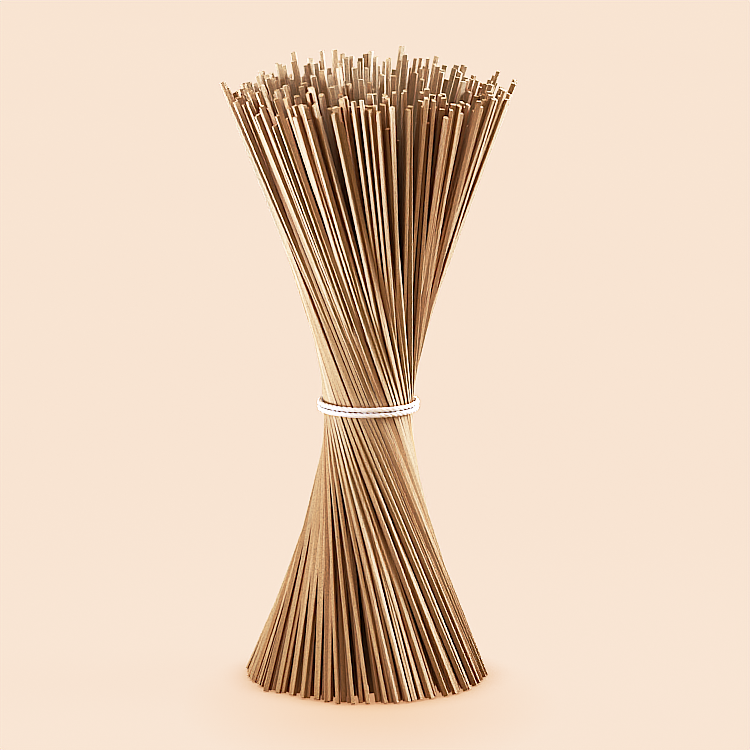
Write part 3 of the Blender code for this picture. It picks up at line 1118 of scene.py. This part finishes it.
def add_contrast(view):
    """The studio's picture style: deep shadows under plain colours."""
    view.view_transform = "Standard"
    view.use_curve_mapping = True
    curve = view.curve_mapping.curves[COMBINED_CURVE]
    for low, high in CONTRAST:
        curve.points.new(low, high)
    view.curve_mapping.update()


def add_crispness(scene):
    """Crisp edges, as the photograph's finish has them."""
    scene.use_nodes = True
    tree = scene.node_tree
    tree.nodes.clear()
    picture = {"Image": add_node(tree, "CompositorNodeRLayers").outputs["Image"]}
    crisp = add_node(tree, "CompositorNodeFilter", {"Fac": CRISPNESS}, picture, filter_type="SHARPEN")
    add_node(tree, "CompositorNodeComposite", links={"Image": crisp.outputs["Image"]})


def make_stage():
    """The floor, the lights and the camera."""
    values = settings()
    bpy.ops.mesh.primitive_plane_add(size=FLOOR_SIZE, location=(0, 0, 0))
    floor = bpy.context.active_object
    floor.name = "floor"
    floor.data.materials.append(floor_material())
    floor.visible_diffuse = False
    add_softbox("left", values.left_power, LEFT_PLACE, LEFT_TARGET, LEFT_SPREAD)
    add_softbox("right", values.right_power, RIGHT_PLACE, RIGHT_TARGET, RIGHT_SPREAD)
    add_top_light(values.top_strength)
    world = bpy.data.worlds.new("studio")
    world.use_nodes = True
    sky = world.node_tree.nodes["Background"]
    sky.inputs["Color"].default_value = (*FILL_COLOUR, 1)
    sky.inputs["Strength"].default_value = values.fill_strength
    scene = bpy.context.scene
    scene.world = world
    add_contrast(scene.view_settings)
    add_crispness(scene)
    camera = linked("camera", bpy.data.cameras.new("camera"))
    back = Vector((0, -math.cos(CAMERA_ELEVATION), math.sin(CAMERA_ELEVATION)))
    camera.location = Vector(CAMERA_AIM) + CAMERA_DISTANCE * back
    camera.rotation_euler = back.to_track_quat("Z", "Y").to_euler()
    camera.data.angle = CAMERA_ANGLE
    scene.camera = camera


# The add-on


class BundleSettings(bpy.types.PropertyGroup):
    """Sizes and colours of the noodle bundle."""

    noodle_count: IntProperty(name="Noodles", description="Noodles at the waist", default=250, min=1)
    noodle_width: FloatProperty(
        name="Noodle width",
        description="A noodle's wider side",
        default=0.00185,
        unit="LENGTH",
        precision=5,
    )
    noodle_thickness: FloatProperty(
        name="Noodle thickness",
        description="A noodle's thinner side",
        default=0.00129,
        unit="LENGTH",
        precision=5,
    )
    noodle_length: FloatProperty(
        name="Middle length",
        description="Length of the noodles in the middle",
        default=0.2186,
        unit="LENGTH",
    )
    rim_length: FloatProperty(
        name="Rim length", description="Length of the noodles at the rim", default=0.2203, unit="LENGTH"
    )
    waist_radius: FloatProperty(
        name="Waist radius", description="Radius of the narrowest place", default=0.0155, unit="LENGTH"
    )
    waist_slant: FloatProperty(
        name="Twist", description="Tangent of the outer noodles' slant", default=0.42, subtype="FACTOR"
    )
    filler_count: IntProperty(
        name="Fillers", description="How many more fill the gaps of both fans", default=230, min=0
    )
    seed: IntProperty(name="Seed", description="Another seed gives another bundle", default=10, min=0)
    string_diameter: FloatProperty(
        name="String", description="Diameter of the string", default=0.0017, unit="LENGTH", precision=5
    )
    pale_dough: FloatVectorProperty(
        name="Pale dough",
        description="Palest noodles' colour",
        default=(0.705, 0.66, 0.545),
        subtype="COLOR",
    )
    dark_dough: FloatVectorProperty(
        name="Dark dough",
        description="Darkest noodles' colour",
        default=(0.575, 0.445, 0.29),
        subtype="COLOR",
    )
    hull_specks: FloatVectorProperty(
        name="Hull specks",
        description="Colour of the ground hulls",
        default=(0.12, 0.06, 0.03),
        subtype="COLOR",
    )
    # Painted shade in the narrow gaps between the noodles
    gap_painted_shade: FloatVectorProperty(
        name="Gap tint",
        description="Shade of the narrow gaps",
        default=(0.72, 0.37, 0.14),
        subtype="COLOR",
    )
    flour: FloatVectorProperty(
        name="Flour", description="Colour of the floury edges", default=(0.86, 0.8, 0.69), subtype="COLOR"
    )
    cotton: FloatVectorProperty(
        name="Cotton", description="Colour of the string", default=(0.92, 0.95, 1.0), subtype="COLOR"
    )
    cotton_shade: FloatVectorProperty(
        name="Cotton shade",
        description="Colour between the fibres",
        default=(0.8, 0.84, 0.93),
        subtype="COLOR",
    )
    floor_colour: FloatVectorProperty(
        name="Floor", description="Colour of the floor", default=(0.832, 0.665, 0.581), subtype="COLOR"
    )
    # Painted shadow on the floor close to the noodles
    contact_painted_shadow: FloatVectorProperty(
        name="Contact tint",
        description="Floor's shade at the noodles",
        default=(0.72, 0.65, 0.54),
        subtype="COLOR",
    )
    # Painted shadow on the floor in front of the noodles
    front_painted_shadow: FloatVectorProperty(
        name="Shadow tint",
        description="Shade of the floor in front",
        default=(0.95, 0.87, 0.79),
        subtype="COLOR",
    )
    left_power: FloatProperty(
        name="Left light", description="Power of the softbox on the left", default=0.38
    )
    right_power: FloatProperty(
        name="Right light", description="Power of the softbox on the right", default=0.6
    )
    top_strength: FloatProperty(
        name="Top light", description="Strength of the light from above", default=1.12
    )
    fill_strength: FloatProperty(
        name="Fill light", description="Strength of the light all round", default=0.445
    )


class MESH_OT_noodle_strands(bpy.types.Operator):
    """Make the noodles, each a square-cut bar with worn edges"""

    bl_idname = "mesh.noodle_strands"
    bl_label = "Noodles"

    def execute(self, context):
        bpy.ops.object.select_all(action="DESELECT")
        make_noodles()
        return {"FINISHED"}


class MESH_OT_noodle_core(bpy.types.Operator):
    """Make the middle of the bundle, which lies hidden between the noodles"""

    bl_idname = "mesh.noodle_core"
    bl_label = "Core"

    def execute(self, context):
        bpy.ops.object.select_all(action="DESELECT")
        make_core()
        return {"FINISHED"}


class MESH_OT_noodle_string(bpy.types.Operator):
    """Make the string with its two turns and its knot"""

    bl_idname = "mesh.noodle_string"
    bl_label = "String"

    def execute(self, context):
        bpy.ops.object.select_all(action="DESELECT")
        make_string()
        return {"FINISHED"}


class SCENE_OT_noodle_stage(bpy.types.Operator):
    """Make the floor, the lights and the camera"""

    bl_idname = "scene.noodle_stage"
    bl_label = "Stage"

    def execute(self, context):
        bpy.ops.object.select_all(action="DESELECT")
        make_stage()
        return {"FINISHED"}


OPERATORS = (MESH_OT_noodle_strands, MESH_OT_noodle_core, MESH_OT_noodle_string, SCENE_OT_noodle_stage)


class VIEW3D_PT_noodle_bundle(bpy.types.Panel):
    """Lists the bundle's sizes, colours and pieces"""

    bl_idname = "VIEW3D_PT_noodle_bundle"
    bl_label = "Noodle bundle"
    bl_space_type = "VIEW_3D"
    bl_region_type = "UI"
    bl_category = "Noodle bundle"

    def draw(self, context):
        for name in BundleSettings.__annotations__:
            self.layout.prop(context.scene.noodle_bundle, name)
        for operator in OPERATORS:
            self.layout.operator(operator.bl_idname)


CLASSES = (BundleSettings, *OPERATORS, VIEW3D_PT_noodle_bundle)


def register():
    for one in CLASSES:
        bpy.utils.register_class(one)
    bpy.types.Scene.noodle_bundle = PointerProperty(type=BundleSettings)


def unregister():
    del bpy.types.Scene.noodle_bundle
    for one in reversed(CLASSES):
        bpy.utils.unregister_class(one)


def main():
    register()
    bpy.ops.mesh.noodle_strands()
    bpy.ops.mesh.noodle_core()
    bpy.ops.mesh.noodle_string()
    bpy.ops.scene.noodle_stage()


if __name__ == "__main__":
    main()
